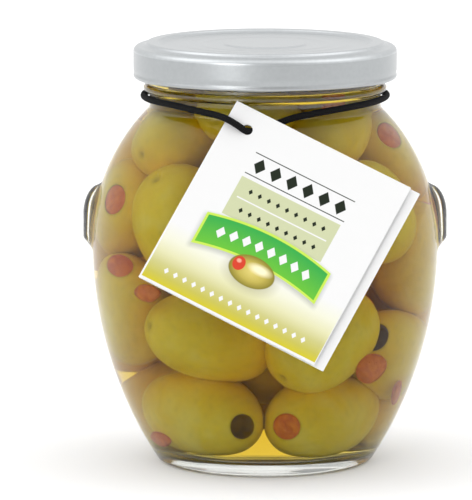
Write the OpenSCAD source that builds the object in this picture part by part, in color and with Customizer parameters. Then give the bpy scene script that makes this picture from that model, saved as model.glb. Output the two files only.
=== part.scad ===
// Jar of olives in brine: a bellied glass jar with two small ears, a twist-off
// tinplate lid, and a folded card tag held round the neck by an elastic cord.
// Millimetres, +Z up, front faces -Y, origin at the middle of the jar's foot.

/* [Jar] */
// Height of the jar from its foot to the sealing rim
jar_h = 126; // [104:1:152]
// Widest diameter of the belly
belly_d = 104.2; // [86:0.2:126]
// Height of the widest point of the belly
belly_z = 66.5; // [55:0.5:72]
// Outer diameter of the flat ring that the jar stands on
foot_d = 61; // [50:0.5:74]
// Width of that ring, inside which the underside is hollow
foot_w = 4.5; // [3:0.1:6]
// Height of the hollow in the underside
punt_h = 2; // [0.5:0.1:3.5]
// Radius of the rounded heel
heel_r = 2.8; // [1.5:0.1:4]
// Thickness of the side wall
wall = 3; // [2:0.1:4]
// Thickness of the floor at its rim
floor_t = 5; // [3.5:0.1:8]
// Radius of the inner corner between floor and wall
floor_r = 8; // [5:0.5:12]

/* [Neck finish] */
// Outer diameter of the neck under the bead
neck_d = 69.6; // [60:0.2:72]
// Thickness of the neck's wall
neck_wall = 2.9; // [2.2:0.1:4]
// Height from the middle of the bead up to the rim
finish_h = 12.6; // [11:0.2:16]
// Height from the shoulder up to the middle of the bead
neck_h = 5.9; // [4.5:0.1:9]
// How far the bead stands out from the neck
bead_out = 1.8; // [1:0.1:2.2]
// Height of the bead
bead_h = 2.6; // [1.6:0.1:3]
// Radius of the hollow between shoulder and neck
neck_r = 2.5; // [1:0.1:3]
// Number of thread lugs
lug_n = 4; // [3:1:6]
// How far the thread lugs stand out from the finish wall
lug_out = 1.5; // [1:0.1:1.8]
// Depth of the middle of the thread lugs below the rim
lug_drop = 7; // [6.5:0.1:7.5]

/* [Ears] */
// How far the ears stand out from the belly at its widest
ear_out = 2.75; // [1.5:0.05:4]
// Height of an ear
ear_h = 19.5; // [14:0.5:24]
// Height of the middle of the ears above the belly's widest point
ear_up = 7.8; // [0:0.1:11]
// Width of an ear round the jar
ear_w = 12; // [8:0.5:16]

/* [Lid] */
// Gap between the bead and the inside of the lid's rolled edge, seen from above
lid_gap = 1; // [0.8:0.05:2.5]
// Space between the top of the bead and the bottom of the rolled edge
lid_lift = 1.6; // [0.6:0.1:3]
// Thickness of the sheet metal
sheet = 0.4; // [0.3:0.05:0.6]
// Diameter of the rolled edge
curl_d = 2; // [1.4:0.1:2.4]
// Height of the raised ring above the rim
ring_top = 1.3; // [1:0.1:1.8]
// Distance of the raised ring from the lid's outer edge
ring_in = 3.1; // [2.6:0.1:5]
// Width of the raised ring
ring_w = 5.4; // [4:0.1:7]
// Diameter of the round button in the middle of the lid
button_d = 27; // [20:0.5:40]
// Height of the button above the panel
button_h = 0.3; // [0.1:0.05:0.5]

/* [Contents] */
// Depth of the brine's surface below the rim
headroom = 7; // [5:0.5:20]
// Gap between the brine and the glass
fill_gap = 0.05; // [0:0.01:0.2]

/* [Tag] */
// Width of the front leaf
tag_w = 57.8; // [48:0.2:70]
// Height of the tag
tag_h = 61; // [50:0.5:72]
// How much wider the back leaf is than the front leaf
tag_lip = 3; // [0:0.1:5]
// Thickness of the card
card = 0.3; // [0.2:0.05:0.4]
// Space between the two leaves
leaf_gap = 0.4; // [0.2:0.05:0.6]
// Diameter of the hole for the cord
hole_d = 3.2; // [3:0.1:5]
// Distance of the hole from the folded edge
hole_side = 7; // [5:0.5:12]
// Distance of the hole from the top edge
hole_top = 6.5; // [5:0.5:12]
// Angle by which the tag hangs askew
tag_turn = 28; // [20:1:36]
// Angle by which the tag leans back against the belly
tag_lean = 25; // [18:1:30]
// Sideways place of the hole that the tag hangs from
hang_x = -5.42; // [-7:0.02:-4]
// Depth of that hole below the shoulder
hang_drop = 2.28; // [1.5:0.02:4]
// Gap between the tag and the belly
tag_gap = 0.3; // [0.1:0.05:0.6]

/* [Cord] */
// Diameter of the elastic cord
cord_d = 2; // [1.5:0.1:2.2]
// Diameter of the knot that closes the loop behind the neck
knot_d = 4.6; // [3.5:0.1:4.8]

/* [Hidden] */
$fn = 96;

// Number of steps in a long and in a short rounded stretch of an outline
long_arc = 14;
short_arc = 5;

// The neck and the finish above it, which is a step wider
finish_step = 0.6;
rim_r = 1;
bead_steps = 8;
belly_r = belly_d / 2;
neck_or = neck_d / 2;
mouth_r = neck_or - neck_wall;
finish_r = neck_or + finish_step;
bead_r = neck_or + bead_out;
bead_z = jar_h - finish_h;
bead_top = bead_z + bead_h / 2;
shoulder_z = bead_z - neck_h;
fill_z = jar_h - headroom;
punt_r = foot_d / 2 - foot_w;

// Half the height, half the turn, the slope and the rounding of a thread lug
lug_half_h = 1.2;
lug_half_turn = 24;
lug_slope = 3;
lug_round = 1;
first_lug = -62;

// The ears: height of the rounded top, height of the cut-back lower end and its lip
ear_z = belly_z + ear_up;
ear_crown = 9;
ear_cut = 3.3;
ear_lip = 0.2;
ear_steps = 8;

// The belly is two arcs that meet upright at its widest point
heel_a = 31;
heel_x = foot_d / 2 + heel_r * cos(heel_a);
heel_z = heel_r - heel_r * sin(heel_a);
low_r = arc_radius(belly_r - heel_x, belly_z - heel_z);
high_r = arc_radius(belly_r - neck_or, shoulder_z - belly_z);
low_x = belly_r - low_r;
high_x = belly_r - high_r;

// The hollow where the shoulder turns up into the neck
hollow_x = neck_or + neck_r;
hollow_z = belly_z + sqrt(pow(high_r + neck_r, 2) - pow(hollow_x - high_x, 2));
hollow_a = atan2(hollow_z - belly_z, hollow_x - high_x);

// The inner corner between floor and wall
corner_x = low_x + sqrt(pow(low_r - wall - floor_r, 2) - pow(belly_z - floor_t - floor_r, 2));
corner_a = atan2(floor_t + floor_r - belly_z, corner_x - low_x);
mouth_a = acos((mouth_r - high_x) / (high_r - wall));

// The lid's own places, measured from the bead that it covers and the rim that it seats on
curl_r = curl_d / 2;
lid_r = bead_r + lid_gap + curl_d;
curl_z = bead_top + lid_lift + curl_r;
shoulder_r = 1.6;
bevel_x = lid_r - shoulder_r;
bevel_z = jar_h + 0.05;
panel_z = jar_h + sheet;
ring_z = jar_h + ring_top;
ring_r = lid_r - ring_in;

// Roundings of the raised ring's inner and outer edge, and the groove outside it
ring_slope = 1.6;
ring_inner = 0.6;
ring_outer = 0.9;
ring_side = 0.6;
groove_w = 0.4;
groove_up = 0.1;
button_edge = 1;
button_fall = 0.05;
seal_out = 0.4;

// The tag hangs from its hole
tag_t = 2 * card + leaf_gap;
hole_x = hole_side - tag_w / 2;
hole_y = tag_h / 2 - hole_top;
tag_x = hang_x - hole_x * cos(tag_turn) - hole_y * sin(tag_turn);
tag_z = shoulder_z - hang_drop - (hole_y * cos(tag_turn) - hole_x * sin(tag_turn)) * cos(tag_lean);

// It leans on the belly, or with its top corner on the bead where that stands out more
touch_z = belly_z + high_r * sin(tag_lean);
touch_r = high_x + high_r * cos(tag_lean);
top_x = tag_x - tag_w / 2 * cos(tag_turn) + tag_h / 2 * sin(tag_turn);
top_z = tag_z + (tag_w / 2 * sin(tag_turn) + tag_h / 2 * cos(tag_turn)) * cos(tag_lean);
bead_y = top_z < bead_z - bead_h / 2 ? 0 : sqrt(max(0, bead_r * bead_r - top_x * top_x));
belly_lean = touch_r + (touch_z - tag_z) * tan(tag_lean);
bead_lean = bead_y + (min(top_z, bead_z) - tag_z) * tan(tag_lean);
tag_y = max(belly_lean, bead_lean) + tag_gap / cos(tag_lean);

// Route of the cord's middle line: from the knot behind the neck, round the right
// side, through the tag's hole from behind, over its edge and round the left side
CORD_ROUTE = [
    [2.5, 37.8, 110.4], [4.5, 37.8, 110.4], [10.5, 35.8, 110.8], [17.5, 32, 111],
    [24, 27.5, 111], [29.5, 21.5, 111], [33.5, 14.5, 111], [36, 6.5, 111],
    [36.5, -1.5, 111], [35, -10, 111], [32, -17.5, 110.9], [27.5, -24, 110.7],
    [21.5, -29.5, 110.3], [14.5, -33.5, 109.5], [8, -35.8, 108.4], [3, -37, 106.8],
    [-1.2, -38.3, 105.4], [-5.3, -40.9, 105.1], [-8.2, -42, 107], [-11.2, -41.3, 108.7],
    [-14.5, -38.5, 109.6], [-20.5, -33, 110.3], [-26, -26.5, 110.8], [-31, -19.5, 111],
    [-34.5, -12, 111], [-36.3, -4, 111], [-36.2, 4.5, 111], [-34.4, 12.3, 111],
    [-31, 19.5, 111], [-25.8, 25.8, 111], [-19, 31.2, 111], [-11, 35.5, 110.8],
    [-4.5, 37.8, 110.4], [-2.5, 37.8, 110.4]
];
cord_sides = 8;
cord_steps = 2;
knot_len = 2 * CORD_ROUTE[0][0];

// Radius of an arc that leaves upright and reaches a point across and up from there
function arc_radius(across, up) = (across * across + up * up) / (2 * across);

// Points of an arc from angle a to angle b
function arc(x, z, r, a, b, n) =
    [for (i = [0:n]) let (t = a + (b - a) * i / n) [x + r * cos(t), z + r * sin(t)]];

// The hollow underside and the domed floor above it, from r1 to r2
function dome(z, r1, r2) = [for (i = [0:short_arc])
    let (r = r1 + (r2 - r1) * i / short_arc) [r, z + punt_h * (1 - pow(r / punt_r, 2))]];

// Radius of the belly's outer face at a height
function belly_at(z) =
    z < belly_z ? low_x + sqrt(low_r * low_r - pow(belly_z - z, 2))
                : high_x + sqrt(high_r * high_r - pow(z - belly_z, 2));

// Points of the cavity's outline from the floor's corner to the top z, inset by a gap
function cavity(gap, top) = concat(
    arc(corner_x, floor_t + floor_r, floor_r - gap, -90, corner_a, short_arc),
    arc(low_x, belly_z, low_r - wall - gap, corner_a + 1, 0, long_arc),
    arc(high_x, belly_z, high_r - wall - gap, 2, mouth_a, long_arc),
    [[mouth_r - gap, top]]
);

module jar_outline() {
    outside = concat(
        dome(0, 0, punt_r),
        arc(foot_d / 2, heel_r, heel_r, -90, -heel_a, short_arc),
        arc(low_x, belly_z, low_r, asin((heel_z - belly_z) / low_r) + 1, 0, long_arc),
        arc(high_x, belly_z, high_r, 2, hollow_a, long_arc),
        arc(hollow_x, hollow_z, neck_r, hollow_a + 180, 180, short_arc),
        [for (i = [0:bead_steps - 1]) let (t = -90 + 180 * i / bead_steps)
            [neck_or + bead_out * cos(t), bead_z + bead_h / 2 * sin(t)]],
        [[finish_r, bead_top]],
        arc(finish_r - rim_r, jar_h - rim_r, rim_r, 0, 90, short_arc)
    );
    inside = cavity(0, jar_h - rim_r);
    n = len(inside);
    polygon(concat(
        outside,
        arc(mouth_r + rim_r, jar_h - rim_r, rim_r, 90, 180, short_arc),
        [for (i = [1:n - 1]) inside[n - 1 - i]],
        [[0, floor_t + punt_h]]
    ));
}

// One short sloping ridge that the lid's edge turns under
module thread_lug(turn) {
    root = finish_r - lug_round / 2;
    translate([0, 0, jar_h - lug_drop]) rotate([0, 0, turn]) rotate([lug_slope, 0, 0])
        rotate([0, 0, -lug_half_turn]) rotate_extrude(angle = 2 * lug_half_turn)
            polygon(concat(
                [[root, -lug_half_h]],
                arc(finish_r + lug_out - lug_round, 0, lug_round, -60, 60, short_arc),
                [[root, lug_half_h]]
            ));
}

// A solid glass ear: a lug with a rounded top, an upright face and a cut-back lower end
module ear(turn) {
    low = ear_z - ear_h / 2;
    high = ear_z + ear_h / 2;
    out = belly_r + ear_out;
    face = [for (i = [0:ear_steps]) let (t = 90 * i / ear_steps)
        [belly_at(high) + (out - belly_at(high)) * sin(t), high - ear_crown * (1 - cos(t))]];
    back = [for (i = [0:ear_steps]) let (z = low + ear_h * i / ear_steps) [belly_at(z) - wall / 2, z]];
    half = 2 * asin(ear_w / 2 / out);
    intersection() {
        rotate([0, 0, turn - half]) rotate_extrude(angle = 2 * half)
            polygon(concat(face, [[out, low + ear_cut], [belly_at(low) + ear_lip, low]], back));
        rotate([0, 0, turn]) translate([0, 0, ear_z]) rotate([90, 0, 90])
            linear_extrude(height = belly_d) ear_front();
    }
}

// The ear seen from the side of the jar, rounder at the top than at the bottom
module ear_front() {
    top_r = ear_w / 2;
    low_r = ear_w / 4;
    translate([0, ear_h / 2 - top_r]) circle(r = top_r);
    translate([-top_r, -ear_h / 2 + low_r]) square([ear_w, ear_h - top_r - low_r]);
    for (side = [-1, 1]) translate([side * (top_r - low_r), -ear_h / 2 + low_r]) circle(r = low_r);
    translate([low_r - top_r, -ear_h / 2]) square([ear_w - 2 * low_r, low_r]);
}

module jar() {
    color([0.86, 0.92, 0.88, 0.4]) union() {
        rotate_extrude() jar_outline();
        for (i = [0:lug_n - 1]) thread_lug(first_lug + i * 360 / lug_n);
        for (turn = [0, 180]) ear(turn);
    }
}

module lid() {
    button_z = panel_z + button_h;
    outside = concat(
        [[0, button_z]],
        [[button_d / 2 - button_edge, button_z - button_fall], [button_d / 2, panel_z]],
        [[ring_r - ring_w, panel_z]],
        arc(ring_r - ring_w + ring_slope, ring_z - ring_inner, ring_inner, 150, 90, short_arc),
        arc(ring_r - ring_side - ring_outer, ring_z - ring_outer, ring_outer, 90, 10, short_arc),
        [[ring_r, bevel_z + 3 * groove_up]],
        [[ring_r + groove_w, bevel_z + groove_up]],
        arc(bevel_x, bevel_z - shoulder_r, shoulder_r, 90, 0, short_arc),
        arc(lid_r - curl_r, curl_z, curl_r, 0, -270, 2 * long_arc),
        [[lid_r - sheet, curl_z + curl_r * cos(asin(1 - sheet / curl_r))]]
    );
    inside = concat(
        arc(bevel_x, bevel_z - shoulder_r, shoulder_r - sheet, 0, 90, short_arc),
        [[finish_r + 2 * seal_out, bevel_z - sheet], [finish_r + seal_out, jar_h], [0, jar_h]]
    );
    color("silver") rotate_extrude() polygon(concat(outside, inside));
}

module brine() {
    outline = concat(
        [[0, floor_t + punt_h + fill_gap]],
        dome(floor_t + fill_gap, 0, punt_r),
        cavity(fill_gap, fill_z),
        [[0, fill_z]]
    );
    color([0.72, 0.6, 0.12]) rotate_extrude() polygon(outline);
}

// Puts a piece drawn flat, with its front face up, where the tag hangs
module tag_place() {
    translate([tag_x, -tag_y, tag_z]) rotate([90 - tag_lean, 0, 0]) rotate([0, 0, -tag_turn]) children();
}

module tag() {
    left = -tag_w / 2;
    right = tag_w / 2;
    fold_r = tag_t / 2;
    leaves = concat(
        [[right, tag_t], [right, tag_t - card]],
        arc(left + fold_r, fold_r, fold_r - card, 90, 270, short_arc),
        [[right + tag_lip, card], [right + tag_lip, 0]],
        arc(left + fold_r, fold_r, fold_r, 270, 90, short_arc)
    );
    color("white") tag_place() difference() {
        rotate([90, 0, 0]) linear_extrude(height = tag_h, center = true) polygon(leaves);
        translate([hole_x, hole_y, -tag_t]) cylinder(d = hole_d, h = 3 * tag_t);
    }
}

// A point on the smooth curve through four neighbours, between the middle two
function curve_point(p0, p1, p2, p3, t) = 0.5 * (
    2 * p1 + (p2 - p0) * t + (2 * p0 - 5 * p1 + 4 * p2 - p3) * t * t
    + (3 * p1 - p0 - 3 * p2 + p3) * t * t * t);

function cord_curve(p) =
    let (last = len(p) - 1)
    concat([for (i = [0:last - 1]) for (s = [0:cord_steps - 1]) curve_point(
        i == 0 ? 2 * p[0] - p[1] : p[i - 1], p[i], p[i + 1],
        i == last - 1 ? 2 * p[last] - p[last - 1] : p[i + 2], s / cord_steps)],
    [p[last]]);

module cord() {
    path = cord_curve(CORD_ROUTE);
    last = len(path) - 1;
    points = [for (i = [0:last]) let (
        ahead = path[min(i + 1, last)] - path[max(i - 1, 0)],
        side = cross(ahead, [0, 0, 1]) / norm(cross(ahead, [0, 0, 1])),
        up = cross(side, ahead) / norm(ahead)
    ) for (k = [0:cord_sides - 1]) let (t = 360 * k / cord_sides)
        path[i] + cord_d / 2 * (cos(t) * side + sin(t) * up)];
    walls = [for (i = [0:last - 1]) for (k = [0:cord_sides - 1]) let (
        a = i * cord_sides + k,
        b = i * cord_sides + (k + 1) % cord_sides
    ) [a, b, b + cord_sides, a + cord_sides]];
    start = [for (k = [0:cord_sides - 1]) cord_sides - 1 - k];
    end = [for (k = [0:cord_sides - 1]) last * cord_sides + k];
    color([0.08, 0.08, 0.09]) polyhedron(points, concat(walls, [start, end]), convexity = 8);
}

// The knot that closes the loop, as a short rounded barrel between the cord's ends
module knot() {
    end_r = cord_d / 2;
    round_r = (knot_d - cord_d) / 2;
    color([0.06, 0.06, 0.07]) translate([0, CORD_ROUTE[0][1], CORD_ROUTE[0][2]]) rotate([0, 90, 0])
        rotate_extrude() polygon(concat(
            [[0, -knot_len / 2]],
            arc(end_r, round_r - knot_len / 2, round_r, -90, 0, short_arc),
            arc(end_r, knot_len / 2 - round_r, round_r, 0, 90, short_arc),
            [[0, knot_len / 2]]
        ));
}

jar();
lid();
brine();
tag();
cord();
knot();
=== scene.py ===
"""Looks of a jar of stuffed green olives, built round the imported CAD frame. Sizes are millimetres."""
import math

import bmesh
import bpy
import numpy as np
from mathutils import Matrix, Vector


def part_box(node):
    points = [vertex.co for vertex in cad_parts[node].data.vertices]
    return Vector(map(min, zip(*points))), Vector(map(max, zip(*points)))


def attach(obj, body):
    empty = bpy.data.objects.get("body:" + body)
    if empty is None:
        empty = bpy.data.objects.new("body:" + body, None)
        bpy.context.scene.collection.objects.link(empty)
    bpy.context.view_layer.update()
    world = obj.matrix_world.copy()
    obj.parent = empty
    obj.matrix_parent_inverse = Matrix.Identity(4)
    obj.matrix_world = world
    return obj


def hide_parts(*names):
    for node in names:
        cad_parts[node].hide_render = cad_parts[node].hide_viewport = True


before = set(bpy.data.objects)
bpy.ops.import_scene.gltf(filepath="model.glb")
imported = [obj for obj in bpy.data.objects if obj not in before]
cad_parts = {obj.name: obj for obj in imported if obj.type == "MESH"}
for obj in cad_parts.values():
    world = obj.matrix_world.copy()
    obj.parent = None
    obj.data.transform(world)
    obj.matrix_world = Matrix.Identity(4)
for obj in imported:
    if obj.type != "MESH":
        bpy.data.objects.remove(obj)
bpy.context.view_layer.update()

MM = 0.001


def corners(node):
    """Lowest and highest corner of a CAD node, in millimetres."""
    low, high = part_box(node)
    return np.array(low) / MM, np.array(high) / MM


jar_high = corners("jar")[1]
lid_low, lid_high = corners("lid")
brine_high = corners("brine")[1]
knot_low, knot_high = corners("knot")

# ---------------------------------------------------------------- driving sizes

# Jar. The ears stand out along X, so the belly's radius is read in Y
JAR_H = jar_high[2]
EAR_R = jar_high[0]
BELLY_R = jar_high[1]
BELLY_Z = 66.5
FOOT_R = 30.5
PUNT_R = 26.0
PUNT_H = 2.0
HEEL_R = 2.8
WALL = 3.0
FLOOR_T = 5.0
FLOOR_R = 8.0

# Neck and finish
NECK_R = 34.8
MOUTH_R = 31.9
FINISH_R = 35.4
BEAD_OUT = 1.8
BEAD_H = 2.6
BEAD_Z = JAR_H - 12.6
SHOULDER_Z = BEAD_Z - 5.9
HOLLOW_R = 2.5
RIM_R = 1.0
LUG_COUNT = 4
LUG_FIRST = -62.0
LUG_HALF_TURN = 24.0
LUG_SLOPE = math.tan(math.radians(3.0))
LUG_HALF_H = 1.4
LUG_OUT = 1.4
LUG_Z = JAR_H - 7.0

# Ears. They blend into the belly over a share of their half width, at the foot and at the
# crown, and the inside of the wall follows a share of their rise
EAR_Z = BELLY_Z + 7.8
EAR_H = 19.5
EAR_HALF_W = 6.0
EAR_CROWN = 9.0
EAR_CUT = 3.3
EAR_LIP = 0.2
EAR_SPREAD = (1.4, 1.8)
EAR_HOLLOW = 0.85

# Lid
LID_R = lid_high[0]
LID_TOP = lid_high[2]
CURL_R = 1.0
CURL_Z = lid_low[2] + CURL_R
SHEET = 0.4
PANEL_Z = JAR_H + SHEET
SHOULDER_R = 1.6
RING_R = LID_R - 3.1
RING_W = 5.4
BUTTON_R = 13.5

# Contents
FILL_Z = brine_high[2]
INTO_WALL = 0.3

# Camera
CAMERA_AT = (-8.75, -1700.0, 317.0)
CAMERA_AIM = (-8.75, 0.0, 63.8)
CAMERA_LENS = 409.8
SENSOR_W = 36.0

# Tag: a card folded at its left edge, which hangs from its hole and leans on the belly
TAG_W = 57.8
TAG_H = 61.0
TAG_LIP = 3.0
CARD = 0.3
LEAF_GAP = 0.4
HOLE_R = 1.6
HOLE_AT = (-21.9, 24.0)
TAG_TURN = math.radians(28.0)
TAG_LEAN = math.radians(25.0)
TAG_MIDDLE = (2.65, 76.7)
TAG_GAP = 0.3
FRONT_BOW = 0.9
BACK_BOW = 0.05

# Cord, with the route that its CAD solid follows
CORD_R = 1.0
KNOT_CORD_R = 0.95
CORD_ROUTE = [
    (2.5, 37.8, 110.4), (4.5, 37.8, 110.4), (10.5, 35.8, 110.8), (17.5, 32, 111),
    (24, 27.5, 111), (29.5, 21.5, 111), (33.5, 14.5, 111), (36, 6.5, 111),
    (36.5, -1.5, 111), (35, -10, 111), (32, -17.5, 110.9), (27.5, -24, 110.7),
    (21.5, -29.5, 110.3), (14.5, -33.5, 109.5), (8, -35.8, 108.4), (3, -37, 106.8),
    (-1.2, -38.3, 105.4), (-5.3, -40.9, 105.1), (-8.2, -42, 107), (-11.2, -41.3, 108.7),
    (-14.5, -38.5, 109.6), (-20.5, -33, 110.3), (-26, -26.5, 110.8), (-31, -19.5, 111),
    (-34.5, -12, 111), (-36.3, -4, 111), (-36.2, 4.5, 111), (-34.4, 12.3, 111),
    (-31, 19.5, 111), (-25.8, 25.8, 111), (-19, 31.2, 111), (-11, 35.5, 110.8),
    (-4.5, 37.8, 110.4), (-2.5, 37.8, 110.4),
]


# ---------------------------------------------------------------- outlines

def arc_radius(across, up):
    """Radius of an arc that leaves upright and reaches a point across and up from there."""
    return (across * across + up * up) / (2 * across)


def arc(x, z, r, first, last, steps):
    """Points of an arc between two angles in degrees."""
    turn = np.radians(np.linspace(first, last, steps + 1))
    return [(x + r * math.cos(t), z + r * math.sin(t)) for t in turn]


HEEL_A = 31.0
heel_x = FOOT_R + HEEL_R * math.cos(math.radians(HEEL_A))
heel_z = HEEL_R - HEEL_R * math.sin(math.radians(HEEL_A))
low_r = arc_radius(BELLY_R - heel_x, BELLY_Z - heel_z)
high_r = arc_radius(BELLY_R - NECK_R, SHOULDER_Z - BELLY_Z)
low_x = BELLY_R - low_r
high_x = BELLY_R - high_r
hollow_x = NECK_R + HOLLOW_R
hollow_z = BELLY_Z + math.sqrt((high_r + HOLLOW_R) ** 2 - (hollow_x - high_x) ** 2)
hollow_a = math.degrees(math.atan2(hollow_z - BELLY_Z, hollow_x - high_x))
corner_z = FLOOR_T + FLOOR_R
corner_x = low_x + math.sqrt((low_r - WALL - FLOOR_R) ** 2 - (BELLY_Z - corner_z) ** 2)
corner_a = math.degrees(math.atan2(corner_z - BELLY_Z, corner_x - low_x))
mouth_a = math.degrees(math.acos((MOUTH_R - high_x) / (high_r - WALL)))


def belly_at(z):
    """Radius of the belly's outer face at a height."""
    if z < BELLY_Z:
        return low_x + math.sqrt(low_r ** 2 - (BELLY_Z - z) ** 2)
    return high_x + math.sqrt(max(high_r ** 2 - (z - BELLY_Z) ** 2, 0))


def inner_limit(z, size):
    """How far from the axis a ball of that radius may lie at a height."""
    if z < BELLY_Z:
        return low_x + math.sqrt(max((low_r - WALL - size) ** 2 - (BELLY_Z - z) ** 2, 0))
    limit = high_x + math.sqrt(max((high_r - WALL - size) ** 2 - (z - BELLY_Z) ** 2, 0))
    return max(limit, MOUTH_R - size)


def dome(z, first, last, steps):
    """The hollow underside, or the domed floor above it."""
    return [(r, z + PUNT_H * (1 - (r / PUNT_R) ** 2)) for r in np.linspace(first, last, steps + 1)]


def outer_outline():
    """The jar's outside, from the middle of its underside up to the top of the rim."""
    start = math.degrees(math.asin((heel_z - BELLY_Z) / low_r))
    bead = [(NECK_R + BEAD_OUT * math.cos(t), BEAD_Z + BEAD_H / 2 * math.sin(t))
            for t in np.radians(np.linspace(-90, 80, 14))]
    finish = [(FINISH_R, z) for z in np.linspace(BEAD_Z + BEAD_H / 2, JAR_H - RIM_R, 27)]
    return (dome(0, 0.01, PUNT_R, 8) + [(PUNT_R + 0.3, 0)] + [(FOOT_R - 0.3, 0)]
            + arc(FOOT_R, HEEL_R, HEEL_R, -90, -HEEL_A, 8)
            + arc(low_x, BELLY_Z, low_r, start + 0.7, 0, 56)
            + arc(high_x, BELLY_Z, high_r, 0.6, hollow_a, 72)
            + arc(hollow_x, hollow_z, HOLLOW_R, hollow_a + 180, 180, 6)
            + [(NECK_R, z) for z in np.linspace(hollow_z + 0.4, BEAD_Z - BEAD_H / 2 - 0.2, 4)]
            + bead + finish
            + arc(FINISH_R - RIM_R, JAR_H - RIM_R, RIM_R, 15, 90, 5))


def cavity_outline(grow, top):
    """The inside of the wall, pushed outwards by grow, from the middle of the floor up to a height."""
    return (dome(FLOOR_T - grow, 0.01, PUNT_R, 8)
            + arc(corner_x, corner_z, FLOOR_R + grow, -90, corner_a, 10)
            + arc(low_x, BELLY_Z, low_r - WALL + grow, corner_a + 0.7, 0, 40)
            + arc(high_x, BELLY_Z, high_r - WALL + grow, 1, mouth_a, 40)
            + [(MOUTH_R + grow, z) for z in np.linspace(top - 8, top, 5)])


# ---------------------------------------------------------------- meshes

def mesh_piece(name, points, faces, smooth=True):
    """A mesh object from points in millimetres."""
    mesh = bpy.data.meshes.new(name)
    mesh.from_pydata([tuple(p) for p in np.asarray(points, float) * MM], [], faces)
    mesh.validate()
    piece = bpy.data.objects.new(name, mesh)
    bpy.context.scene.collection.objects.link(piece)
    if smooth:
        mesh.polygons.foreach_set("use_smooth", [True] * len(mesh.polygons))
    return piece


def face_outwards(piece):
    """Makes the normals of a closed mesh point out of it."""
    work = bmesh.new()
    work.from_mesh(piece.data)
    bmesh.ops.remove_doubles(work, verts=work.verts, dist=1e-7)
    bmesh.ops.recalc_face_normals(work, faces=work.faces)
    work.to_mesh(piece.data)
    work.free()


def revolve(name, outline, turns, shape=None):
    """Turns an outline round Z. shape(index, turn, radius, height) may return another radius."""
    points = []
    for turn in turns:
        for i, (r, z) in enumerate(outline):
            radius = shape(i, turn, r, z) if shape else r
            points.append((radius * math.cos(turn), radius * math.sin(turn), z))
    count = len(outline)
    rings = len(turns)
    faces = []
    for a in range(rings):
        b = (a + 1) % rings
        for i in range(count - 1):
            faces.append((a * count + i, b * count + i, b * count + i + 1, a * count + i + 1))
    for end in (0, count - 1):
        faces.append([a * count + end for a in range(rings)])
    piece = mesh_piece(name, points, faces)
    face_outwards(piece)
    return piece


def even_turns(count):
    return [2 * math.pi * k / count for k in range(count)]


def smooth_route(route, steps):
    """A smooth curve through a list of points."""
    p = np.array(route, float)
    p = np.vstack([2 * p[0] - p[1], p, 2 * p[-1] - p[-2]])
    line = []
    for i in range(1, len(p) - 2):
        for t in np.arange(steps) / steps:
            a, b, c, d = p[i - 1:i + 3]
            line.append(0.5 * (2 * b + (c - a) * t + (2 * a - 5 * b + 4 * c - d) * t ** 2
                               + (3 * b - a - 3 * c + d) * t ** 3))
    line.append(p[-2])
    return np.array(line)


def ring_faces(rings, sides):
    """Faces of a closed skin whose points come ring by ring."""
    faces = []
    for i in range(rings - 1):
        for k in range(sides):
            here, beside = i * sides + k, i * sides + (k + 1) % sides
            faces.append((here, here + sides, beside + sides, beside))
    faces.append(list(range(sides)))
    faces.append([(rings - 1) * sides + k for k in reversed(range(sides))])
    return faces


def tube(name, line, radius, sides):
    """A tube along a line. The braid's coordinates are millimetres along it, and the turn round it."""
    ahead = np.gradient(line, axis=0)
    ahead /= np.linalg.norm(ahead, axis=1)[:, None]
    side = np.cross(ahead[0], (0, 0, 1.0))
    points, braid, faces = [], [], []
    along = np.concatenate([[0], np.cumsum(np.linalg.norm(np.diff(line, axis=0), axis=1))])
    for i, centre in enumerate(line):
        side -= ahead[i] * (side @ ahead[i])
        side /= np.linalg.norm(side)
        up = np.cross(side, ahead[i])
        for k in range(sides):
            t = 2 * math.pi * k / sides
            points.append(centre + radius * (math.cos(t) * side + math.sin(t) * up))
            braid.append((along[i], math.cos(t), math.sin(t)))
    last = len(line) - 1
    for i in range(last):
        for k in range(sides):
            a = i * sides + k
            b = i * sides + (k + 1) % sides
            faces.append((a, b, b + sides, a + sides))
    for ring, sign in ((0, -1), (last, 1)):
        tip = len(points)
        points.append(line[ring] + sign * ahead[ring] * radius * 0.5)
        braid.append((along[ring], 0, 0))
        for k in range(sides):
            faces.append((ring * sides + k, ring * sides + (k + 1) % sides, tip))
    piece = mesh_piece(name, points, faces)
    store = piece.data.attributes.new("braid", "FLOAT_VECTOR", "POINT")
    store.data.foreach_set("vector", np.array(braid, np.float32).ravel())
    face_outwards(piece)
    return piece


# ---------------------------------------------------------------- materials

class Nodes:
    """Short calls for the nodes of one tree."""

    def __init__(self, tree):
        self.tree = tree

    def node(self, kind, **settings):
        made = self.tree.nodes.new(kind)
        for key, value in settings.items():
            setattr(made, key, value)
        return made

    def put(self, socket, value):
        """Links an output, or sets a constant."""
        if isinstance(value, bpy.types.NodeSocket):
            self.tree.links.new(value, socket)
        else:
            socket.default_value = value

    def math(self, operation, a, b=0.0, c=0.0, clamp=False):
        made = self.node("ShaderNodeMath", operation=operation, use_clamp=clamp)
        for socket, value in zip(made.inputs, (a, b, c)):
            self.put(socket, value)
        return made.outputs[0]


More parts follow.
